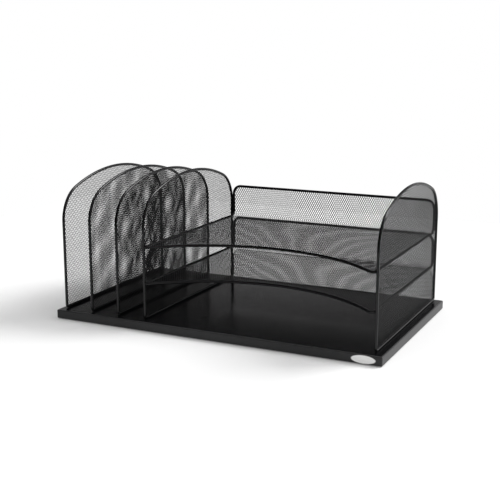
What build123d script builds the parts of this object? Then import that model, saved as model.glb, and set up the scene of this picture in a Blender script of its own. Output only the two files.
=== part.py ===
from build123d import *

import math
import os

os.makedirs("parts", exist_ok=True)

# Desk organizer of bent wire and expanded mesh on an edged board.
# X runs to the right, Y to the rear and Z up. The origin is on the desk, under the middle of the base.

# Overall size
base_width = 495.3
base_depth = 292.1
overall_height = 209.55

# Base board, its edging and its feet
board_thickness = 12.7
edging_thickness = 2.0
edging_round = 1.5
foot_height = 1.0
foot_diameter = 16.0
foot_round = 0.3
foot_inset = 26.0

# Wire and mesh stock
wire_diameter = 4.0
seat_gap = 0.05
weld_gap = 0.1
mesh_thickness = 0.8
mesh_long_pitch = 6.2
mesh_short_pitch = 3.5
mesh_strand = 0.66
net_border = 3.0

# How many mesh openings across one gap of the net stands for, panel by panel
arch_net_step = 4
floor_net_step = 5
wall_net_step = 2

# Arches: three upright sections on the left and one end panel on the right
upright_sections = 3
first_arch_inset = 7.75
arch_pitch = 44.7
last_arch_inset = 13.65
front_post_inset = 14.55
rear_post_inset = 6.05
arch_rise = 65.5
shoulder_radius = 50.0
toe_radius = 3.0

# Studs under the arches, with the washers and nuts that hold them
stud_diameter = 3.0
stud_inset = 36.5
stud_hole_clearance = 0.25
stud_end_length = 1.0
nut_flats = 5.5
nut_thickness = 2.4
nut_clearance = 0.1
washer_diameter = 7.0
washer_thickness = 0.5
washer_clearance = 0.15
recess_diameter = 10.0
recess_depth = 5.0

# Trays between the fourth arch and the end panel
tray_clear_height = 50.8
tray_pitch = 51.5
tray_wall_height = 48.0
tray_cut_depth = 65.5
tray_corner_radius = 3.0
tray_bend_radius = 8.0
tray_top_radius = 12.0

# Hemmed mesh behind the bottom section
strip_height = 48.0
strip_corner_radius = 12.0
strip_hem_width = 1.6
strip_hem_thickness = 1.6

# Blank oval badge on the front edging
badge_width = 33.0
badge_height = 11.0
badge_thickness = 0.4
badge_round = 0.15
badge_inset = 25.0

# Places worked out from the sizes above
wire_radius = wire_diameter / 2
board_bottom = foot_height
board_top = board_bottom + board_thickness
half_width = base_width / 2
half_depth = base_depth / 2

left_arches = [first_arch_inset - half_width + arch_pitch * index for index in range(upright_sections + 1)]
arch_places = left_arches + [half_width - last_arch_inset]
front_post = front_post_inset - half_depth
rear_post = half_depth - rear_post_inset
arch_middle = (front_post + rear_post) / 2
arch_reach = (rear_post - front_post) / 2
rod_height = board_top + wire_radius
crown_height = overall_height - wire_radius
spring_height = crown_height - arch_rise
shoulder_place = arch_reach - shoulder_radius
crown_radius = (shoulder_place**2 + arch_rise**2 - shoulder_radius**2) / (2 * (arch_rise - shoulder_radius))
crown_centre = crown_height - crown_radius
shoulder_turn = math.atan2(spring_height - crown_centre, shoulder_place)

stud_places = [(x, y) for x in arch_places for y in (front_post + stud_inset, rear_post - stud_inset)]
stud_seat = board_bottom + recess_depth
stud_end = stud_seat - washer_thickness - nut_thickness - stud_end_length

tray_left = left_arches[-1] + wire_diameter + weld_gap
tray_right = arch_places[-1] - wire_diameter - weld_gap
tray_middle = (tray_left + tray_right) / 2
tray_reach = (tray_right - tray_left) / 2
lower_tray = board_top + tray_clear_height + wire_radius
upper_tray = lower_tray + tray_pitch
cut_middle = front_post + tray_cut_depth
corner_place = tray_reach - tray_corner_radius
cut_radius = (corner_place**2 + tray_cut_depth**2 - tray_corner_radius**2) / (
    2 * (tray_cut_depth + tray_corner_radius)
)
cut_centre = cut_middle - cut_radius
cut_turn = math.atan2(front_post - cut_centre, corner_place)
mesh_inset = wire_radius + seat_gap


def turned(centre_across, centre_up, radius, angle):
    return (centre_across + radius * math.cos(angle), centre_up + radius * math.sin(angle))


# Half of an arch from the middle of its bottom rod to its crown, moved inward from the wire's middle
def half_arch(inset):
    reach = arch_reach - inset
    low = rod_height + inset
    toe = toe_radius - inset
    rod = Line((0, low), (reach - toe, low))
    heel = TangentArc(rod @ 1, (reach, low + toe), tangent=rod % 1)
    post = Line(heel @ 1, (reach, spring_height))
    meeting = turned(0, crown_centre, crown_radius - inset, shoulder_turn)
    shoulder = TangentArc(post @ 1, meeting, tangent=post % 1)
    TangentArc(shoulder @ 1, (0, crown_height - inset), tangent=shoulder % 1)


# Diamond gaps that fit whole inside an outline, a border away from its edge
def net_gaps(outline, across_pitch, up_pitch):
    field = offset(outline, amount=-net_border, mode=Mode.PRIVATE).face()
    box = field.bounding_box()
    centre = box.center()
    columns = math.ceil(box.size.X / across_pitch)
    rows = math.ceil(box.size.Y / up_pitch)
    places = []
    for row in range(-2 * rows, 2 * rows + 1):
        for column in range(-columns, columns + 1):
            across = centre.X + (column + (row % 2) / 2) * across_pitch
            up = centre.Y + row / 2 * up_pitch
            tips = [
                (across - across_pitch / 2, up),
                (across + across_pitch / 2, up),
                (across, up - up_pitch / 2),
                (across, up + up_pitch / 2),
            ]
            if all(field.is_inside(tip) for tip in tips):
                places.append((across, up))
    return places


# One diamond gap, narrowed by the strands on its four sides
def diamond(across_pitch, up_pitch, strand):
    between_strands = across_pitch * up_pitch / math.hypot(across_pitch, up_pitch)
    open_share = 1 - strand / between_strands
    side = across_pitch / 2 * open_share
    tip = up_pitch / 2 * open_share
    Polygon((-side, 0), (0, -tip), (side, 0), (0, tip), align=None, mode=Mode.SUBTRACT)


def finish(piece, name):
    piece.part.label = name
    export_step(piece.part, f"parts/{name}.step")


# Base board with a recessed hole under each stud
with BuildPart() as base_board:
    with BuildSketch(Plane.XY.offset(board_bottom)):
        Rectangle(base_width - 2 * edging_thickness, base_depth - 2 * edging_thickness)
    extrude(amount=board_thickness)
    with Locations(*[Plane(origin=(x, y, board_bottom), z_dir=(0, 0, -1)) for x, y in stud_places]):
        CounterBoreHole(
            radius=stud_diameter / 2 + stud_hole_clearance,
            counter_bore_radius=recess_diameter / 2,
            counter_bore_depth=recess_depth,
        )
finish(base_board, "base_board")

# Edging: full-width strips in front and behind, shorter strips between them at the sides
for side, name in ((-1, "edging_front"), (1, "edging_rear")):
    with BuildPart() as edging:
        with BuildSketch(Plane.XY.offset(board_bottom)):
            with Locations((0, side * (half_depth - edging_thickness / 2))):
                Rectangle(base_width, edging_thickness)
        extrude(amount=board_thickness)
        inner_face = edging.faces().sort_by(Axis.Y)[0 if side > 0 else -1]
        inner_edges = inner_face.edges()
        fillet([edge for edge in edging.edges() if edge not in inner_edges], radius=edging_round)
    finish(edging, name)

for side, name in ((-1, "edging_left"), (1, "edging_right")):
    with BuildPart() as edging:
        with BuildSketch(Plane.XY.offset(board_bottom)):
            with Locations((side * (half_width - edging_thickness / 2), 0)):
                Rectangle(edging_thickness, base_depth - 2 * edging_thickness)
        extrude(amount=board_thickness)
        outer_face = edging.faces().sort_by(Axis.X)[-1 if side > 0 else 0]
        fillet(outer_face.edges().filter_by(Axis.Y), radius=edging_round)
    finish(edging, name)

# Thin rubber feet near the corners
for depth_side, depth_name in ((-1, "front"), (1, "rear")):
    for width_side, width_name in ((-1, "left"), (1, "right")):
        with BuildPart() as foot:
            with BuildSketch(Plane.XY.offset(board_bottom)):
                foot_place = (width_side * (half_width - foot_inset), depth_side * (half_depth - foot_inset))
                with Locations(foot_place):
                    Circle(foot_diameter / 2)
            extrude(amount=-foot_height)
            fillet(foot.edges().group_by(Axis.Z)[0], radius=foot_round)
        finish(foot, f"foot_{depth_name}_{width_name}")

# The net that fills an arch, long way of its diamonds upright
with BuildSketch() as arch_outline:
    with BuildLine():
        half_arch(mesh_inset)
        mirror(about=Plane.YZ)
    make_face()

arch_net_across = arch_net_step * mesh_short_pitch
arch_net_up = arch_net_step * mesh_long_pitch
with BuildSketch() as arch_net:
    add(arch_outline.sketch)
    with Locations(*net_gaps(arch_outline.sketch, arch_net_across, arch_net_up)):
        diamond(arch_net_across, arch_net_up, arch_net_step * mesh_strand)

# Five alike arches: a closed wire loop with two studs under its bottom rod, and its mesh
for number, place in enumerate(arch_places, start=1):
    arch_plane = Plane(origin=(place, arch_middle, 0), x_dir=(0, 1, 0), z_dir=(1, 0, 0))

    with BuildPart() as arch_frame:
        with BuildLine(arch_plane) as arch_path:
            half_arch(0)
        with BuildSketch(Plane(origin=arch_path.line @ 0, z_dir=arch_path.line % 0)):
            Circle(wire_radius)
        sweep(path=arch_path.line)
        mirror(about=Plane(origin=(0, arch_middle, 0), z_dir=(0, 1, 0)))
        with BuildSketch(Plane.XY.offset(rod_height)):
            with Locations((place, front_post + stud_inset), (place, rear_post - stud_inset)):
                Circle(stud_diameter / 2)
        extrude(amount=stud_end - rod_height)
    finish(arch_frame, f"arch_frame_{number}")

    with BuildPart() as arch_mesh:
        with BuildSketch(arch_plane.offset(-mesh_thickness / 2)):
            add(arch_net.sketch)
        extrude(amount=mesh_thickness, clean=False)
    finish(arch_mesh, f"arch_mesh_{number}")

# Washers and nuts on the studs, in the recesses under the board
with BuildPart() as stud_washers:
    with BuildSketch(Plane.XY.offset(stud_seat)):
        with Locations(*stud_places):
            Circle(washer_diameter / 2)
            Circle(stud_diameter / 2 + washer_clearance, mode=Mode.SUBTRACT)
    extrude(amount=-washer_thickness)
finish(stud_washers, "stud_washers")

with BuildPart() as stud_nuts:
    with BuildSketch(Plane.XY.offset(stud_seat - washer_thickness)):
        with Locations(*stud_places):
            RegularPolygon(nut_flats / 2, 6, major_radius=False)
            Circle(stud_diameter / 2 + nut_clearance, mode=Mode.SUBTRACT)
    extrude(amount=-nut_thickness)
finish(stud_nuts, "stud_nuts")

# The net of a tray floor, cut back in a curve at the front, long way from front to rear
with BuildSketch() as floor_outline:
    with BuildLine():
        meeting = turned(0, cut_centre, cut_radius + mesh_inset, cut_turn)
        rear_edge = rear_post - tray_bend_radius
        side_place = tray_reach - mesh_inset
        cut = RadiusArc((0, cut_middle + mesh_inset), meeting, cut_radius + mesh_inset)
        corner = TangentArc(cut @ 1, (side_place, front_post), tangent=cut % 1)
        flank = Line(corner @ 1, (side_place, rear_edge))
        Line(flank @ 1, (0, rear_edge))
        mirror(about=Plane.YZ)
    make_face()

floor_net_across = floor_net_step * mesh_short_pitch
floor_net_deep = floor_net_step * mesh_long_pitch
with BuildSketch() as floor_net:
    add(floor_outline.sketch)
    with Locations(*net_gaps(floor_outline.sketch, floor_net_across, floor_net_deep)):
        diamond(floor_net_across, floor_net_deep, floor_net_step * mesh_strand)

# The net of a tray's rear wall, drawn with its foot on the floor's height, long way upright
with BuildSketch() as wall_outline:
    with BuildLine():
        side_place = tray_reach - mesh_inset
        wall_top = tray_wall_height - mesh_inset
        foot_edge = Line((0, tray_bend_radius), (side_place, tray_bend_radius))
        flank = Line(foot_edge @ 1, (side_place, tray_wall_height - tray_top_radius))
        corner = TangentArc(flank @ 1, (tray_reach - tray_top_radius, wall_top), tangent=flank % 1)
        Line(corner @ 1, (0, wall_top))
        mirror(about=Plane.YZ)
    make_face()

wall_net_across = wall_net_step * mesh_short_pitch
wall_net_up = wall_net_step * mesh_long_pitch
with BuildSketch() as wall_net:
    add(wall_outline.sketch)
    with Locations(*net_gaps(wall_outline.sketch, wall_net_across, wall_net_up)):
        diamond(wall_net_across, wall_net_up, wall_net_step * mesh_strand)

# Two trays: a wire loop bent up at the rear, the mesh of its floor and the mesh of its wall
for name, tray_height in (("lower_tray", lower_tray), ("upper_tray", upper_tray)):
    with BuildPart() as tray_frame:
        with BuildLine(Plane(origin=(tray_middle, 0, tray_height))) as tray_path:
            meeting = turned(0, cut_centre, cut_radius, cut_turn)
            rear_edge = rear_post - tray_bend_radius
            bend_top = (tray_reach, rear_post, tray_bend_radius)
            corner_top = (tray_reach - tray_top_radius, rear_post, tray_wall_height)
            cut = RadiusArc((0, cut_middle), meeting, cut_radius)
            corner = TangentArc(cut @ 1, (tray_reach, front_post), tangent=cut % 1)
            flank = Line(corner @ 1, (tray_reach, rear_edge))
            bend = TangentArc(flank @ 1, bend_top, tangent=flank % 1)
            upright = Line(bend @ 1, (tray_reach, rear_post, tray_wall_height - tray_top_radius))
            top_corner = TangentArc(upright @ 1, corner_top, tangent=upright % 1)
            Line(top_corner @ 1, (0, rear_post, tray_wall_height))
        with BuildSketch(Plane(origin=tray_path.line @ 0, z_dir=tray_path.line % 0)):
            Circle(wire_radius)
        sweep(path=tray_path.line)
        mirror(about=Plane(origin=(tray_middle, 0, 0), z_dir=(1, 0, 0)))
    finish(tray_frame, f"{name}_frame")

    with BuildPart() as tray_floor:
        with BuildSketch(Plane(origin=(tray_middle, 0, tray_height - mesh_thickness / 2))):
            add(floor_net.sketch)
        extrude(amount=mesh_thickness, clean=False)
    finish(tray_floor, f"{name}_floor_mesh")

    with BuildPart() as tray_wall:
        wall_origin = (tray_middle, rear_post + mesh_thickness / 2, tray_height)
        with BuildSketch(Plane(origin=wall_origin, x_dir=(1, 0, 0), z_dir=(0, -1, 0))):
            add(wall_net.sketch)
        extrude(amount=mesh_thickness, clean=False)
        bend_left = tray_left + mesh_inset
        bend_origin = (bend_left, rear_post - tray_bend_radius, tray_height + tray_bend_radius)
        with BuildSketch(Plane(origin=bend_origin, x_dir=(0, 1, 0), z_dir=(1, 0, 0))):
            with BuildLine():
                outer = CenterArc((0, 0), tray_bend_radius + mesh_thickness / 2, -90, 90)
                inner = CenterArc((0, 0), tray_bend_radius - mesh_thickness / 2, -90, 90)
                Line(outer @ 0, inner @ 0)
                Line(outer @ 1, inner @ 1)
            make_face()
        extrude(amount=2 * (tray_reach - mesh_inset), clean=False)
    finish(tray_wall, f"{name}_rear_mesh")

# Hemmed mesh strip that closes the rear of the bottom section, between two rear posts
strip_left = left_arches[-1] + mesh_inset
strip_right = arch_places[-1] - mesh_inset
strip_reach = (strip_right - strip_left) / 2
with BuildSketch() as strip_outline:
    with BuildLine():
        foot_edge = Line((0, 0), (strip_reach, 0))
        flank = Line(foot_edge @ 1, (strip_reach, strip_height - strip_corner_radius))
        corner = TangentArc(flank @ 1, (strip_reach - strip_corner_radius, strip_height), tangent=flank % 1)
        Line(corner @ 1, (0, strip_height))
        mirror(about=Plane.YZ)
    make_face()

with BuildSketch() as strip_net:
    add(strip_outline.sketch)
    with Locations(*net_gaps(strip_outline.sketch, wall_net_across, wall_net_up)):
        diamond(wall_net_across, wall_net_up, wall_net_step * mesh_strand)

with BuildPart() as bottom_rear_mesh:
    strip_origin = ((strip_left + strip_right) / 2, rear_post, board_top)
    strip_plane = Plane(origin=strip_origin, x_dir=(1, 0, 0), z_dir=(0, -1, 0))
    with BuildSketch(strip_plane.offset(-mesh_thickness / 2)):
        add(strip_net.sketch)
    extrude(amount=mesh_thickness, clean=False)
    with BuildSketch(strip_plane.offset(-strip_hem_thickness / 2)):
        add(strip_outline.sketch)
        offset(amount=-strip_hem_width, mode=Mode.SUBTRACT)
    extrude(amount=strip_hem_thickness, clean=False)
finish(bottom_rear_mesh, "bottom_rear_mesh")

# Blank oval badge on the front edging, near its right end
with BuildPart() as oval_badge:
    badge_origin = (half_width - badge_inset, -half_depth, board_bottom + board_thickness / 2)
    with BuildSketch(Plane(origin=badge_origin, x_dir=(1, 0, 0), z_dir=(0, -1, 0))):
        Ellipse(badge_width / 2, badge_height / 2)
    extrude(amount=badge_thickness)
    fillet(oval_badge.faces().sort_by(Axis.Y)[0].edges(), radius=badge_round)
finish(oval_badge, "oval_badge")

# How many gaps each net has
for name, sketch in (("arch", arch_net), ("floor", floor_net), ("wall", wall_net), ("strip", strip_net)):
    print(name, "net gaps", len(sketch.face().inner_wires()))
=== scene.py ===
import math

import bpy
from mathutils import Matrix, Vector


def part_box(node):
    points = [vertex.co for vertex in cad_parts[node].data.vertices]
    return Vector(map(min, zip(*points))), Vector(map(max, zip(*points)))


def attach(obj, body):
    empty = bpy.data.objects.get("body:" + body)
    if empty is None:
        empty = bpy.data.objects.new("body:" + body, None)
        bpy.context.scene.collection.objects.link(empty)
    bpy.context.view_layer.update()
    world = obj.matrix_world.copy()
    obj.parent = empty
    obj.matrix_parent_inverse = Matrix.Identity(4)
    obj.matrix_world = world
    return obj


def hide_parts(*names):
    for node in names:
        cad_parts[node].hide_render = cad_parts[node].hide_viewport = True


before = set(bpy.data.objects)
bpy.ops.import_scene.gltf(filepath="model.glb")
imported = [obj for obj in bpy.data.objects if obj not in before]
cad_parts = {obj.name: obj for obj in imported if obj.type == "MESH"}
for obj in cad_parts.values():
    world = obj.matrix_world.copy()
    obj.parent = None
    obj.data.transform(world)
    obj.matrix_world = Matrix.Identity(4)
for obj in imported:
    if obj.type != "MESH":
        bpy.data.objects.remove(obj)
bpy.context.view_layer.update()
print("frame loaded,", len(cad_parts), "nodes")

scene = bpy.context.scene
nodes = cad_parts
archNumbers = range(1, 6)  # from left to right
trays = ("lower_tray", "upper_tray")
quarterTurn = math.pi / 2


# Small helpers for node trees and plain meshes

def feed(tree, value, socket):
    if isinstance(value, bpy.types.NodeSocket):
        tree.links.new(value, socket)
    else:
        socket.default_value = value


def addNode(tree, kind, sockets=None, **settings):
    node = tree.nodes.new(kind)
    for name, value in settings.items():
        setattr(node, name, value)
    for name, value in (sockets or {}).items():
        feed(tree, value, node.inputs[name])
    return node


def calc(tree, operation, *values, kind="ShaderNodeMath"):
    node = addNode(tree, kind, operation=operation)
    for index, value in enumerate(values):
        feed(tree, value, node.inputs[index])
    return node.outputs[0]


def vectorCalc(tree, operation, *values):
    return calc(tree, operation, *values, kind="ShaderNodeVectorMath")


def scaled(tree, vector, factor):
    return addNode(tree, "ShaderNodeVectorMath", {0: vector, "Scale": factor}, operation="SCALE").outputs[0]


def combined(tree, **parts):
    return addNode(tree, "ShaderNodeCombineXYZ", parts).outputs[0]


def separated(tree, vector):
    return addNode(tree, "ShaderNodeSeparateXYZ", {"Vector": vector}).outputs


def lessThan(tree, value, limit):
    node = addNode(tree, "FunctionNodeCompare", {
        0: value, 1: limit}, data_type="FLOAT", operation="LESS_THAN")
    return node.outputs[0]


def ramped(tree, value, start, end):
    # 0 at the start, 1 at the end
    node = addNode(tree, "ShaderNodeMapRange", {"Value": value, "From Min": start, "From Max": end})
    return node.outputs["Result"]


def mixColor(tree, share, first, second):
    # inputs 6 and 7 of a Mix node are its colours, and output 2 is the mixed one
    return addNode(tree, "ShaderNodeMix", {0: share, 6: first, 7: second}, data_type="RGBA").outputs[2]


def objectPlace(tree):
    return addNode(tree, "ShaderNodeTexCoord").outputs["Object"]


def newGroup(name, kind, inputs, outputs):
    group = bpy.data.node_groups.new(name, kind)
    for direction, sockets in (("INPUT", inputs), ("OUTPUT", outputs)):
        for socketName, socketKind in sockets.items():
            group.interface.new_socket(name=socketName, in_out=direction, socket_type=socketKind)
    return group, group.nodes.new("NodeGroupInput").outputs, group.nodes.new("NodeGroupOutput").inputs


def newObject(name, data):
    piece = bpy.data.objects.new(name, data)
    scene.collection.objects.link(piece)
    return piece


def outlineMesh(name, points):
    mesh = bpy.data.meshes.new(name)
    mesh.from_pydata([(x, y, 0) for x, y in points], [], [list(range(len(points)))])
    return mesh


def plainMesh(source):
    # the evaluated shape as a mesh of its own
    graph = bpy.context.evaluated_depsgraph_get()
    return bpy.data.meshes.new_from_object(source.evaluated_get(graph))


def arcPoints(centre, radius, fromAngle, toAngle, steps):
    points = []
    for step in range(steps + 1):
        angle = fromAngle + (toAngle - fromAngle) * step / steps
        points.append((centre[0] + radius * math.cos(angle), centre[1] + radius * math.sin(angle)))
    return points


def mirrored(half):
    # half an outline at x >= 0, from its first to its last point on the middle line
    onMiddle = 1e-6
    return half + [(-x, y) for x, y in reversed(half) if x > onMiddle]


# Shader groups that several finishes share

grainShape = {
    "fineDetail": 3.0, "fineShare": 0.4,
    "broadScale": 14.0, "broadDetail": 4.0, "broadShare": 0.6,
    "bumpDistance": 0.0002,
}
dustShape = {"color": (0.3, 0.29, 0.27, 1), "scale": 60.0, "detail": 6.0, "breaks": (0.42, 0.72)}
edgeRubAndHighlightShape = {"scale": 220.0, "detail": 5.0, "raggedness": 2.0}


def buildPaintGrain(shape):
    group, given, result = newGroup("paintGrain", "ShaderNodeTree", {
        "Color": "NodeSocketColor",
        "Lift": "NodeSocketFloat",
        "Scale": "NodeSocketFloat",
        "Rough Low": "NodeSocketFloat",
        "Rough High": "NodeSocketFloat",
        "Depth": "NodeSocketFloat",
    }, {"Color": "NodeSocketColor", "Roughness": "NodeSocketFloat", "Normal": "NodeSocketVector"})
    place = objectPlace(group)
    fine = addNode(group, "ShaderNodeTexNoise", {
        "Vector": place, "Scale": given["Scale"], "Detail": shape["fineDetail"]}).outputs["Fac"]
    broad = addNode(group, "ShaderNodeTexNoise", {
        "Vector": place, "Scale": shape["broadScale"], "Detail": shape["broadDetail"]}).outputs["Fac"]
    finePart = calc(group, "MULTIPLY", fine, shape["fineShare"])
    tone = calc(group, "MULTIPLY_ADD", broad, shape["broadShare"], finePart)
    gain = calc(group, "MULTIPLY_ADD", calc(group, "SUBTRACT", tone, 0.5), given["Lift"], 1.0)
    span = calc(group, "SUBTRACT", given["Rough High"], given["Rough Low"])
    bump = addNode(group, "ShaderNodeBump", {
        "Strength": given["Depth"], "Distance": shape["bumpDistance"], "Height": fine})
    feed(group, scaled(group, given["Color"], gain), result["Color"])
    feed(group, calc(group, "MULTIPLY_ADD", tone, span, given["Rough Low"]), result["Roughness"])
    feed(group, bump.outputs[0], result["Normal"])
    return group


def buildSettledDust(shape):
    # a pale film on what faces up, broken by noise
    group, given, result = newGroup("settledDust", "ShaderNodeTree", {
        "Color": "NodeSocketColor",
        "Amount": "NodeSocketFloat",
    }, {"Color": "NodeSocketColor"})
    facing = separated(group, addNode(group, "ShaderNodeNewGeometry").outputs["Normal"])["Z"]
    cloud = addNode(group, "ShaderNodeTexNoise", {
        "Vector": objectPlace(group), "Scale": shape["scale"], "Detail": shape["detail"]}).outputs["Fac"]
    broken = ramped(group, cloud, *shape["breaks"])
    upward = calc(group, "MAXIMUM", facing, 0.0)
    mask = calc(group, "MULTIPLY", calc(group, "MULTIPLY", upward, broken), given["Amount"])
    feed(group, mixColor(group, mask, given["Color"], shape["color"]), result["Color"])
    return group


def buildEdgeRubAndHighlight(shape):
    # paler along the edges of a box, where two of its faces are near: partly rubbed paint, partly a painted
    # edge highlight
    group, given, result = newGroup("edgeRubAndHighlight", "ShaderNodeTree", {
        "Color": "NodeSocketColor",
        "Rub And Highlight Color": "NodeSocketColor",
        "Low": "NodeSocketVector",
        "High": "NodeSocketVector",
        "Width": "NodeSocketFloat",
        "Amount": "NodeSocketFloat",
    }, {"Color": "NodeSocketColor"})
    place = objectPlace(group)
    above = vectorCalc(group, "SUBTRACT", place, given["Low"])
    below = vectorCalc(group, "SUBTRACT", given["High"], place)
    split = separated(group, vectorCalc(group, "MINIMUM", above, below))
    larger = calc(group, "MAXIMUM", split["X"], split["Y"])
    smaller = calc(group, "MINIMUM", split["X"], split["Y"])
    second = calc(group, "MAXIMUM", smaller, calc(group, "MINIMUM", larger, split["Z"]))
    edgeNoise = addNode(group, "ShaderNodeTexNoise", {
        "Vector": place, "Scale": shape["scale"], "Detail": shape["detail"]}).outputs["Fac"]
    ragged = calc(group, "MULTIPLY", calc(group, "MULTIPLY", edgeNoise, shape["raggedness"]), given["Width"])
    share = calc(group, "SUBTRACT", 1.0, calc(group, "DIVIDE", second, ragged))
    kept = addNode(group, "ShaderNodeClamp", {"Value": share}).outputs[0]
    mask = calc(group, "MULTIPLY", kept, given["Amount"])
    feed(group, mixColor(group, mask, given["Color"], given["Rub And Highlight Color"]), result["Color"])
    return group


paintGrain = buildPaintGrain(grainShape)
settledDust = buildSettledDust(dustShape)
edgeRubAndHighlight = buildEdgeRubAndHighlight(edgeRubAndHighlightShape)
print("shader groups built")


# Finishes

def newFinish(name, settings):
    material = bpy.data.materials.new(name)
    material.use_nodes = True
    surface = material.node_tree.nodes["Principled BSDF"]
    for socket, value in settings.items():
        surface.inputs[socket].default_value = value
    return material, material.node_tree, surface


def addGroup(tree, group, sockets):
    return addNode(tree, "ShaderNodeGroup", sockets, node_tree=group).outputs


def addGrain(tree, look):
    return addGroup(tree, paintGrain, {
        "Color": look["color"], "Lift": look["lift"], "Scale": look["scale"], "Depth": look["depth"],
        "Rough Low": look["rough"][0], "Rough High": look["rough"][1]})


def joinSurface(tree, surface, color, grain):
    feed(tree, color, surface.inputs["Base Color"])
    feed(tree, grain["Roughness"], surface.inputs["Roughness"])
    feed(tree, grain["Normal"], surface.inputs["Normal"])


def paintFinish(name, look, node=None):
    # with a node given, the edges of that node's box are painted paler: partly rubbed paint, partly a
    # painted edge highlight
    material, tree, surface = newFinish(name, {"Specular IOR Level": look["specular"]})
    grain = addGrain(tree, look)
    color = grain["Color"]
    if node:
        low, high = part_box(node)
        color = addGroup(tree, edgeRubAndHighlight, {
            "Color": color, "Rub And Highlight Color": look["rubAndHighlightColor"], "Low": low, "High": high,
            "Width": look["rubAndHighlightWidth"], "Amount": look["rubAndHighlight"]})["Color"]
    color = addGroup(tree, settledDust, {"Color": color, "Amount": look["dust"]})["Color"]
    joinSurface(tree, surface, color, grain)
    return material


wireLook = {
    "color": (0.006, 0.006, 0.0065, 1), "lift": 0.5, "scale": 1400.0, "depth": 0.15,
    "rough": (0.18, 0.26), "dust": 0.003, "specular": 0.27,
}
sheetLook = {
    "color": (0.007, 0.007, 0.0075, 1), "lift": 0.6, "scale": 1800.0, "depth": 0.1,
    "rough": (0.32, 0.5), "dust": 0.006, "specular": 0.08,
}
# the pale edge colours below are partly rubbed paint, partly a painted edge highlight
boardLook = {
    "color": (0.0035, 0.0035, 0.004, 1), "lift": 0.3, "scale": 700.0, "depth": 0.08,
    "rough": (0.13, 0.19), "dust": 0.002, "specular": 0.24,
    "rubAndHighlightColor": (0.05, 0.05, 0.05, 1), "rubAndHighlightWidth": 0.0008, "rubAndHighlight": 0.25,
}
edgingLook = {
    "color": (0.028, 0.028, 0.029, 1), "lift": 0.35, "scale": 1100.0, "depth": 0.12,
    "rough": (0.3, 0.42), "dust": 0.01, "specular": 0.22,
    "rubAndHighlightColor": (0.09, 0.09, 0.09, 1), "rubAndHighlightWidth": 0.0009, "rubAndHighlight": 0.5,
}
rubberLook = {
    "color": (0.025, 0.025, 0.025, 1), "lift": 0.5, "scale": 900.0, "depth": 0.3,
    "rough": (0.65, 0.85), "dust": 0.0, "specular": 0.3,
    "rubAndHighlightColor": (0.07, 0.07, 0.07, 1), "rubAndHighlightWidth": 0.0006, "rubAndHighlight": 0.4,
}
blackWire = paintFinish("blackWire", wireLook)
blackSheet = paintFinish("blackSheet", sheetLook)


def platedFinish(look):
    material, tree, surface = newFinish("platedSteel", {"Metallic": 1.0})
    grain = addGrain(tree, look)
    joinSurface(tree, surface, grain["Color"], grain)
    return material


platedLook = {
    "color": (0.55, 0.55, 0.53, 1), "lift": 0.35, "scale": 1600.0, "depth": 0.1, "rough": (0.25, 0.42),
}
platedSteel = platedFinish(platedLook)


def badgeFinish(look):
    material, tree, surface = newFinish("badgeWhite", {
        "Specular IOR Level": look["specular"], "Coat Weight": look["coat"],
        "Coat Roughness": look["coatRough"]})
    grain = addGrain(tree, look)
    # a darker rim round the oval
    low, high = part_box("oval_badge")
    middle = (low + high) / 2
    reach = (high - low) / 2
    centred = addNode(tree, "ShaderNodeMapping", {
        "Vector": objectPlace(tree),
        "Location": (-middle.x / reach.x, 0, -middle.z / reach.z),
        "Scale": (1 / reach.x, 0, 1 / reach.z)}).outputs[0]
    away = addNode(tree, "ShaderNodeVectorMath", {0: centred}, operation="LENGTH").outputs["Value"]
    rim = ramped(tree, away, look["rimFrom"], 1.0)
    joinSurface(tree, surface, mixColor(tree, rim, grain["Color"], look["rimColor"]), grain)
    return material


badgeLook = {
    "color": (0.95, 0.95, 0.94, 1), "lift": 0.04, "scale": 500.0, "depth": 0.03, "rough": (0.25, 0.35),
    "specular": 0.5, "coat": 0.3, "coatRough": 0.06, "rimFrom": 0.9, "rimColor": (0.45, 0.45, 0.45, 1),
}
badgeWhite = badgeFinish(badgeLook)


def dress(node, material):
    for slot in nodes[node].material_slots:
        slot.material = material


for number in archNumbers:
    dress(f"arch_frame_{number}", blackWire)
for tray in trays:
    dress(f"{tray}_frame", blackWire)
dress("base_board", paintFinish("boardLaminate", boardLook, "base_board"))
for side in ("front", "rear", "left", "right"):
    dress(f"edging_{side}", paintFinish(f"edging{side.title()}", edgingLook, f"edging_{side}"))
for depth in ("front", "rear"):
    for side in ("left", "right"):
        node = f"foot_{depth}_{side}"
        dress(node, paintFinish(f"rubber{depth.title()}{side.title()}", rubberLook, node))
dress("stud_washers", platedSteel)
dress("stud_nuts", platedSteel)
dress("oval_badge", badgeWhite)
print("finishes placed")


# Expanded mesh: staggered diamonds over a flat outline, thickened, bent at the rear and put in place

sheetSize = {
    "longPitch": 0.0062,  # the diamonds' long way
    "shortPitch": 0.0035,
    "strand": 0.00076,
    "archStrand": 0.0006,
    "thickness": 0.0003,
    "drift": 0.0006,
    "driftScale": 22.0,
    "jitter": 0.0001,
    "jitterScale": 180.0,
    "bendRadius": 0.008,  # at the rear of a tray
    "noBend": 10.0,  # a bend that starts past every sheet
    "tuck": 0.0012,  # how far a sheet reaches into its wire
    "wireInset": 0.00205,  # from a wire's middle to the edge of the solid net
}
sheetTrim = {
    "knit": 2e-5,  # joins neighbouring diamonds
    "close": 2e-6,  # joins the two faces of a sheet
    "sliver": 2e-8,  # faces with less area go
    "crumb": 60.0,  # islands with fewer faces go
}


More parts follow.
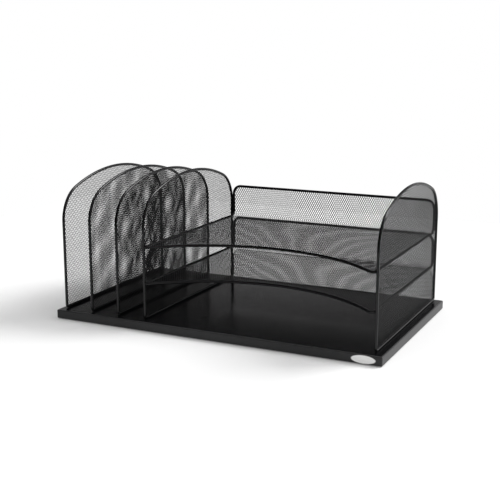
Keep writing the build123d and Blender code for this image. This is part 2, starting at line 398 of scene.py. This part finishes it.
def wander(tree, seed, scale, amount):
    # a smooth sideways offset, the same all through the sheet's thickness, slower along the long way
    spot = addNode(tree, "GeometryNodeInputPosition").outputs[0]
    spread = vectorCalc(tree, "MULTIPLY", spot, (1.0, 0.4, 1.0))
    cloud = addNode(tree, "ShaderNodeTexNoise", {
        "Vector": spread, "W": seed, "Scale": scale, "Detail": 1.0}, noise_dimensions="4D")
    centred = vectorCalc(tree, "SUBTRACT", cloud.outputs["Color"], (0.5, 0.5, 0.5))
    # noise keeps within about a quarter of its middle, so four times that reaches the amount
    flat = vectorCalc(tree, "MULTIPLY", centred, (4.0, 4.0, 0.0))
    return scaled(tree, flat, amount)


def driftOffset(tree, given):
    # pressed diamonds wander a little from row to row and from cell to cell
    broad = wander(tree, given["Seed"], given["Drift Scale"], given["Drift"])
    fine = wander(tree, given["Seed"], given["Jitter Scale"], given["Jitter"])
    return vectorCalc(tree, "ADD", broad, fine)


def joinedGeometry(tree, *parts):
    node = addNode(tree, "GeometryNodeJoinGeometry")
    for part in parts:
        tree.links.new(part, node.inputs[0])
    return node.outputs[0]


def withoutFaces(tree, geometry, selection):
    return addNode(tree, "GeometryNodeDeleteGeometry", {
        0: geometry, "Selection": selection}, domain="FACE").outputs[0]


def oneDiamond(tree, across, up, strand):
    # a diamond ring of four flat faces
    disc = addNode(tree, "GeometryNodeMeshCircle", {"Vertices": 4, "Radius": 1.0}, fill_type="NGON")
    ring = addNode(tree, "GeometryNodeExtrudeMesh", {
        "Mesh": disc.outputs[0], "Offset Scale": 0.0}, mode="FACES").outputs
    squares = calc(tree, "MULTIPLY_ADD", across, across, calc(tree, "MULTIPLY", up, up))
    between = calc(tree, "DIVIDE", calc(tree, "MULTIPLY", across, up), calc(tree, "SQRT", squares))
    openShare = calc(tree, "SUBTRACT", 1.0, calc(tree, "DIVIDE", strand, between))
    shrunk = addNode(tree, "GeometryNodeScaleElements", {
        "Geometry": ring["Mesh"], "Selection": ring["Top"], "Scale": openShare}, domain="FACE")
    hollow = withoutFaces(tree, shrunk.outputs[0], ring["Top"])
    half = combined(tree, X=calc(tree, "MULTIPLY", across, 0.5), Y=calc(tree, "MULTIPLY", up, 0.5), Z=1.0)
    return addNode(tree, "GeometryNodeTransform", {"Geometry": hollow, "Scale": half}).outputs[0]


def diamondPlaces(tree, outline, across, up, askew):
    # two grids of places, the second half a pitch off, both on whole steps of the pitch
    bounds = addNode(tree, "GeometryNodeBoundBox", {0: outline})
    low = separated(tree, bounds.outputs["Min"])
    high = separated(tree, bounds.outputs["Max"])
    counts = {}
    sizes = {}
    centres = {}
    for axis, pitch in (("X", across), ("Y", up)):
        size = calc(tree, "SUBTRACT", high[axis], low[axis])
        halfCount = calc(tree, "CEIL", calc(tree, "DIVIDE", calc(tree, "MULTIPLY", size, 0.5), pitch))
        steps = calc(tree, "MULTIPLY_ADD", halfCount, 2.0, 2.0)
        counts[axis] = calc(tree, "ADD", steps, 1.0)
        sizes[axis] = calc(tree, "MULTIPLY", steps, pitch)
        middle = calc(tree, "MULTIPLY", calc(tree, "ADD", high[axis], low[axis]), 0.5)
        centres[axis] = calc(tree, "SNAP", middle, pitch)
    grid = addNode(tree, "GeometryNodeMeshGrid", {
        "Size X": sizes["X"], "Size Y": sizes["Y"],
        "Vertices X": counts["X"], "Vertices Y": counts["Y"]}).outputs["Mesh"]
    shift = combined(tree, X=calc(tree, "MULTIPLY", across, 0.5), Y=calc(tree, "MULTIPLY", up, 0.5))
    second = addNode(tree, "GeometryNodeTransform", {"Geometry": grid, "Translation": shift}).outputs[0]
    return addNode(tree, "GeometryNodeTransform", {
        "Geometry": joinedGeometry(tree, grid, second), "Translation": combined(tree, **centres),
        "Rotation": askew}).outputs[0]


def trimmedNet(tree, net):
    # slivers at the edge go, then single faces that share no edge, then small islands
    area = addNode(tree, "GeometryNodeInputMeshFaceArea").outputs[0]
    trimmed = withoutFaces(tree, net, lessThan(tree, area, sheetTrim["sliver"]))
    shared = addNode(tree, "GeometryNodeInputMeshFaceNeighbors").outputs["Face Count"]
    joined = withoutFaces(tree, trimmed, lessThan(tree, shared, 0.5))
    island = addNode(tree, "GeometryNodeInputMeshIsland").outputs["Island Index"]
    faces = addNode(tree, "GeometryNodeAccumulateField", {
        "Value": 1.0, "Group ID": island}, domain="FACE").outputs["Total"]
    return withoutFaces(tree, joined, lessThan(tree, faces, sheetTrim["crumb"]))


def thickened(tree, net, thickness):
    # half to each side
    lift = combined(tree, Z=calc(tree, "MULTIPLY", thickness, -0.5))
    lowered = addNode(tree, "GeometryNodeSetPosition", {0: net, "Offset": lift}).outputs[0]
    raised = addNode(tree, "GeometryNodeExtrudeMesh", {
        "Mesh": lowered, "Offset": (0, 0, 1), "Offset Scale": thickness, "Individual": False}, mode="FACES")
    under = addNode(tree, "GeometryNodeFlipFaces", {0: lowered}).outputs[0]
    both = joinedGeometry(tree, raised.outputs["Mesh"], under)
    return addNode(tree, "GeometryNodeMergeByDistance", {0: both, "Distance": sheetTrim["close"]}).outputs[0]


def bentUp(tree, sheet, start, radius):
    # flat before the start, then round the radius, then straight up
    spot = separated(tree, addNode(tree, "GeometryNodeInputPosition").outputs[0])
    past = calc(tree, "MAXIMUM", calc(tree, "SUBTRACT", spot["Y"], start), 0.0)
    flat = calc(tree, "SUBTRACT", spot["Y"], past)
    angle = calc(tree, "MINIMUM", calc(tree, "DIVIDE", past, radius), quarterTurn)
    rest = calc(tree, "SUBTRACT", past, calc(tree, "MULTIPLY", angle, radius))
    arm = calc(tree, "SUBTRACT", radius, spot["Z"])
    bentY = calc(tree, "MULTIPLY_ADD", arm, calc(tree, "SINE", angle), flat)
    rise = calc(tree, "SUBTRACT", radius, calc(tree, "MULTIPLY", arm, calc(tree, "COSINE", angle)))
    bent = combined(tree, X=spot["X"], Y=bentY, Z=calc(tree, "ADD", rise, rest))
    return addNode(tree, "GeometryNodeSetPosition", {0: sheet, "Position": bent}).outputs[0]


def buildExpandedMesh():
    tree, given, result = newGroup("expandedMesh", "GeometryNodeTree", {
        "Outline": "NodeSocketGeometry",
        "Pitch Across": "NodeSocketFloat",
        "Pitch Up": "NodeSocketFloat",
        "Strand": "NodeSocketFloat",
        "Thickness": "NodeSocketFloat",
        "Drift": "NodeSocketFloat",
        "Drift Scale": "NodeSocketFloat",
        "Jitter": "NodeSocketFloat",
        "Jitter Scale": "NodeSocketFloat",
        "Seed": "NodeSocketFloat",
        "Tilt": "NodeSocketFloat",
        "Bend Start": "NodeSocketFloat",
        "Bend Radius": "NodeSocketFloat",
        "Place": "NodeSocketVector",
        "Turn": "NodeSocketVector",
        "Finish": "NodeSocketMaterial",
    }, {"Sheet": "NodeSocketGeometry"})
    tree.is_modifier = True
    across = given["Pitch Across"]
    up = given["Pitch Up"]
    diamond = oneDiamond(tree, across, up, given["Strand"])
    askew = addNode(tree, "FunctionNodeEulerToRotation", {0: combined(tree, Z=given["Tilt"])}).outputs[0]
    places = diamondPlaces(tree, given["Outline"], across, up, askew)

    # keep the diamonds that reach the outline, and pull what is past it back to its edge
    near = addNode(tree, "GeometryNodeProximity", {0: given["Outline"]}, target_element="FACES").outputs
    longest = calc(tree, "MULTIPLY", calc(tree, "MAXIMUM", across, up), 0.5)
    laid = addNode(tree, "GeometryNodeInstanceOnPoints", {
        "Points": places, "Selection": lessThan(tree, near["Distance"], longest), "Instance": diamond,
        "Rotation": askew})
    loose = addNode(tree, "GeometryNodeRealizeInstances", {0: laid.outputs[0]})
    knit = addNode(tree, "GeometryNodeMergeByDistance", {0: loose.outputs[0], "Distance": sheetTrim["knit"]})
    drifted = addNode(tree, "GeometryNodeSetPosition", {
        0: knit.outputs[0], "Offset": driftOffset(tree, given)})
    pulled = addNode(tree, "GeometryNodeSetPosition", {
        0: drifted.outputs[0], "Position": near["Position"]})

    net = trimmedNet(tree, pulled.outputs[0])
    sheet = thickened(tree, net, given["Thickness"])
    shaped = bentUp(tree, sheet, given["Bend Start"], given["Bend Radius"])
    turn = addNode(tree, "FunctionNodeEulerToRotation", {0: given["Turn"]})
    placed = addNode(tree, "GeometryNodeTransform", {
        "Geometry": shaped, "Translation": given["Place"], "Rotation": turn.outputs[0]})
    plain = addNode(tree, "GeometryNodeRealizeInstances", {0: placed.outputs[0]})
    painted = addNode(tree, "GeometryNodeSetMaterial", {0: plain.outputs[0], "Material": given["Finish"]})
    feed(tree, painted.outputs[0], result["Sheet"])
    return tree


expandedMesh = buildExpandedMesh()


def expandedSheet(name, points, node, place, turn, seed, strand,
                  stretch=1.0, tilt=0.0, bendStart=sheetSize["noBend"]):
    piece = newObject(name, outlineMesh(name, points))
    modifier = piece.modifiers.new("expandedMesh", "NODES")
    modifier.node_group = expandedMesh
    values = {
        "Pitch Across": sheetSize["shortPitch"] * stretch,
        "Pitch Up": sheetSize["longPitch"],
        "Strand": strand,
        "Thickness": sheetSize["thickness"],
        "Drift": sheetSize["drift"],
        "Drift Scale": sheetSize["driftScale"],
        "Jitter": sheetSize["jitter"],
        "Jitter Scale": sheetSize["jitterScale"],
        "Seed": seed,
        "Tilt": tilt,
        "Bend Start": bendStart,
        "Bend Radius": sheetSize["bendRadius"],
        "Place": place,
        "Turn": turn,
        "Finish": blackSheet,
    }
    for socket in expandedMesh.interface.items_tree:
        if socket.in_out == "INPUT" and socket.name in values:
            modifier[socket.identifier] = values[socket.name]
    mesh = plainMesh(piece)
    piece.modifiers.remove(modifier)
    piece.data = mesh
    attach(piece, "root")
    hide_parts(node)
    triangles = sum(len(face.vertices) - 2 for face in mesh.polygons)
    print(name, triangles, "triangles")


# Arches

archShape = {
    "rise": 0.0655, "shoulderRadius": 0.05, "toeRadius": 0.003, "toeSteps": 6, "arcSteps": 20,
    "stretch": (1.0, 1.03, 1.01, 1.04, 1.0),  # how far each sheet was pulled open
    "tilt": (0.0, 0.04, 0.015, 0.055, 0.0),  # and how much askew it was cut
    "seedStep": 3.0,
}


def archOutline(low, high):
    # the half outline from the bottom rod to the crown, pushed out into the wire
    inset = sheetSize["wireInset"] - sheetSize["tuck"]
    reach = (high.y - low.y) / 2 + sheetSize["wireInset"]
    rod = low.z - sheetSize["wireInset"]
    crown = high.z + sheetSize["wireInset"]
    rise = archShape["rise"]
    shoulder = archShape["shoulderRadius"]
    toe = archShape["toeRadius"]
    steps = archShape["arcSteps"]
    spring = crown - rise
    across = reach - shoulder
    crownRadius = (across ** 2 + rise ** 2 - shoulder ** 2) / (2 * (rise - shoulder))
    meeting = math.atan2(spring - crown + crownRadius, across)
    half = [(0, rod + inset)]
    half += arcPoints((reach - toe, rod + toe), toe - inset, -quarterTurn, 0, archShape["toeSteps"])
    half += arcPoints((across, spring), shoulder - inset, 0, meeting, steps)
    half += arcPoints((0, crown - crownRadius), crownRadius - inset, meeting, quarterTurn, steps)[1:]
    return mirrored(half)


for number, stretch, tilt in zip(archNumbers, archShape["stretch"], archShape["tilt"]):
    low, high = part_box(f"arch_mesh_{number}")
    middle = (low + high) / 2
    expandedSheet(
        f"archSheet{number}", archOutline(low, high), f"arch_mesh_{number}",
        (middle.x, middle.y, 0), (quarterTurn, 0, quarterTurn), archShape["seedStep"] * number,
        sheetSize["archStrand"], stretch, tilt)
print("arch sheets laid")


# Trays

trayShape = {
    "cornerRadius": 0.003, "cutDepth": 0.0655, "topRadius": 0.012, "wallHeight": 0.048,
    "cutSteps": 30, "cornerSteps": 10, "topSteps": 8, "seeds": (21.0, 24.0),
}


def trayFloorOutline(low, high, bendLine):
    # y counts from the bend line, so floor and wall share one pattern
    inset = sheetSize["wireInset"] - sheetSize["tuck"]
    reach = (high.x - low.x) / 2 + sheetSize["wireInset"]
    corner = trayShape["cornerRadius"]
    depth = trayShape["cutDepth"]
    post = low.y + corner - sheetSize["wireInset"] - bendLine
    across = reach - corner
    cutRadius = (across ** 2 + depth ** 2 - corner ** 2) / (2 * (depth + corner))
    cutCentre = post + depth - cutRadius
    meeting = math.atan2(post - cutCentre, across)
    half = arcPoints((0, cutCentre), cutRadius + inset, quarterTurn, meeting, trayShape["cutSteps"])
    half += arcPoints((across, post), corner - inset, meeting - math.pi, 0, trayShape["cornerSteps"])[1:]
    half += [(reach - inset, 0), (0, 0)]
    return mirrored(half)


def trayWallOutline(low, high):
    inset = sheetSize["wireInset"] - sheetSize["tuck"]
    reach = (high.x - low.x) / 2 + sheetSize["wireInset"]
    bend = sheetSize["bendRadius"]
    radius = trayShape["topRadius"]
    top = bend * quarterTurn + trayShape["wallHeight"] - bend
    half = [(0, 0), (reach - inset, 0)]
    half += arcPoints((reach - radius, top - radius), radius - inset, 0, quarterTurn, trayShape["topSteps"])
    half += [(0, top - inset)]
    return mirrored(half)


for seed, tray in zip(trayShape["seeds"], trays):
    floorLow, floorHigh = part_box(f"{tray}_floor_mesh")
    middle = (floorLow + floorHigh) / 2
    place = (middle.x, floorHigh.y, middle.z)
    short = tray.split("_")[0]
    expandedSheet(
        f"{short}TrayFloorSheet", trayFloorOutline(floorLow, floorHigh, floorHigh.y), f"{tray}_floor_mesh",
        place, (0, 0, 0), seed, sheetSize["strand"])
    wallLow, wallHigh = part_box(f"{tray}_rear_mesh")
    expandedSheet(
        f"{short}TrayWallSheet", trayWallOutline(wallLow, wallHigh), f"{tray}_rear_mesh",
        place, (0, 0, 0), seed, sheetSize["strand"], bendStart=0.0)
print("tray sheets laid")


# Strip behind the bottom section, with a folded hem round its edge

stripShape = {
    "cornerRadius": 0.012, "cornerSteps": 8, "hemRadius": 0.0007, "hemRounding": 2, "hemInset": 0.0008,
    "seed": 27.0,
}


def stripOutline(low, high):
    inset = stripShape["hemInset"]
    reach = (high.x - low.x) / 2
    height = high.z - low.z
    radius = stripShape["cornerRadius"]
    corner = (reach - radius, height - radius)
    half = [(0, inset), (reach - inset, inset)]
    half += arcPoints(corner, radius - inset, 0, quarterTurn, stripShape["cornerSteps"])
    half += [(0, height - inset)]
    return mirrored(half)


def hemTube(name, points, place):
    curve = bpy.data.curves.new(name, "CURVE")
    curve.dimensions = "3D"
    curve.bevel_depth = stripShape["hemRadius"]
    curve.bevel_resolution = stripShape["hemRounding"]
    spline = curve.splines.new("POLY")
    spline.points.add(len(points) - 1)
    for point, (x, y) in zip(spline.points, points):
        point.co = (place[0] + x, place[1], place[2] + y, 1)
    spline.use_cyclic_u = True
    path = newObject(name, curve)
    mesh = plainMesh(path)
    bpy.data.objects.remove(path)
    piece = newObject(name, mesh)
    mesh.materials.clear()
    mesh.materials.append(blackWire)
    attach(piece, "root")
    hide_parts("bottom_rear_mesh")


stripLow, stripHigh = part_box("bottom_rear_mesh")
stripMiddle = (stripLow + stripHigh) / 2
stripPlace = (stripMiddle.x, stripMiddle.y, stripLow.z)
stripPoints = stripOutline(stripLow, stripHigh)
expandedSheet(
    "bottomRearSheet", stripPoints, "bottom_rear_mesh",
    stripPlace, (quarterTurn, 0, 0), stripShape["seed"], sheetSize["strand"])
hemTube("bottomRearHem", stripPoints, stripPlace)
print("bottom strip laid")


# Camera fitted to the photograph

cameraFit = {
    "place": (0.595995, -1.245431, 0.405416),
    "yaw": -0.446861,
    "pitch": 0.210893,
    "lens": 69.517,
    "sensor": 36.0,
    "shift": (-0.00556, -0.01696),
    "sight": 50.0,
}


def addCamera(fit):
    data = bpy.data.cameras.new("camera")
    data.sensor_width = fit["sensor"]
    data.lens = fit["lens"]
    data.shift_x, data.shift_y = fit["shift"]
    data.clip_end = fit["sight"]
    camera = newObject("camera", data)
    yaw = fit["yaw"]
    pitch = fit["pitch"]
    right = Vector((math.cos(yaw), -math.sin(yaw), 0))
    ahead = Vector((math.sin(yaw) * math.cos(pitch), math.cos(yaw) * math.cos(pitch), -math.sin(pitch)))
    above = right.cross(ahead)
    turned = Matrix((right, above, -ahead)).transposed().to_4x4()
    camera.matrix_world = Matrix.Translation(fit["place"]) @ turned
    scene.camera = camera


addCamera(cameraFit)


# Pale floor, soft lamps and a white surround

stageLook = {
    "floorSize": 1.7,
    "floorColor": (0.75, 0.75, 0.75, 1),
    "floorRough": 0.9,
    "floorGlow": 0.12,
    "white": (1, 1, 1, 1),
    "skyStrength": 0.42,
    "sweepStrength": 0.95,
    "roomStrength": 0.05,
    # where the sweep is dark and where it is white, along each axis of the direction
    "sweepFades": (("Z", (-0.05, 0.0)), ("Z", (0.29, 0.2)), ("Y", (-0.2, 0.3))),
}
lamps = {
    "rearLamp": {"place": (1.1, 1.05, 1.35), "spread": 0.5, "power": 3.2},
    "sideLamp": {"place": (2.0, 0.3, 0.5), "spread": 1.4, "power": 0.8},
    "topLamp": {"place": (0.3, -0.2, 2.0), "spread": 0.9, "power": 0.4},
}


def addFloor(look):
    size = look["floorSize"] / 2
    corners = [(-size, -size), (size, -size), (size, size), (-size, size)]
    floor = newObject("floor", outlineMesh("floor", corners))
    material, tree, surface = newFinish("paleFloor", {
        "Base Color": look["floorColor"], "Roughness": look["floorRough"], "Specular IOR Level": 0.0,
        "Emission Color": look["white"]})
    # the glow is seen and mirrored, but adds no soft light of its own
    rays = addNode(tree, "ShaderNodeLightPath").outputs
    shown = calc(tree, "MAXIMUM", rays["Is Camera Ray"], rays["Is Glossy Ray"])
    seen = calc(tree, "MAXIMUM", shown, rays["Is Transmission Ray"])
    feed(tree, calc(tree, "MULTIPLY", seen, look["floorGlow"]), surface.inputs["Emission Strength"])
    floor.data.materials.append(material)


def addSky(look):
    world = bpy.data.worlds.new("surround")
    scene.world = world
    world.use_nodes = True
    tree = world.node_tree
    background = tree.nodes["Background"]
    background.inputs["Color"].default_value = look["white"]
    # what shines sees a white sweep behind the part and a darker room overhead and in front
    way = separated(tree, addNode(tree, "ShaderNodeTexCoord").outputs["Generated"])
    share = 1.0
    for axis, (dark, white) in look["sweepFades"]:
        share = calc(tree, "MULTIPLY", share, ramped(tree, way[axis], dark, white))
    gain = look["sweepStrength"] - look["roomStrength"]
    room = calc(tree, "MULTIPLY_ADD", share, gain, look["roomStrength"])
    rays = addNode(tree, "ShaderNodeLightPath").outputs
    shown = calc(tree, "MAXIMUM", rays["Is Camera Ray"], rays["Is Transmission Ray"])
    lit = calc(tree, "MULTIPLY_ADD", shown, 1.0 - look["skyStrength"], look["skyStrength"])
    gloss = calc(tree, "MULTIPLY", rays["Is Glossy Ray"], calc(tree, "SUBTRACT", room, lit))
    feed(tree, calc(tree, "ADD", lit, gloss), background.inputs["Strength"])


def addLamp(name, place, spread, power):
    # a far lamp, so that the floor is lit alike all over
    data = bpy.data.lights.new(name, "SUN")
    data.angle = spread
    data.energy = power
    lamp = newObject(name, data)
    facing = (-Vector(place)).to_track_quat("-Z", "Y")
    lamp.matrix_world = Matrix.Translation(place) @ facing.to_matrix().to_4x4()


addFloor(stageLook)
addSky(stageLook)
for name, lamp in lamps.items():
    addLamp(name, **lamp)

scene.view_settings.view_transform = "Standard"
print("stage set")
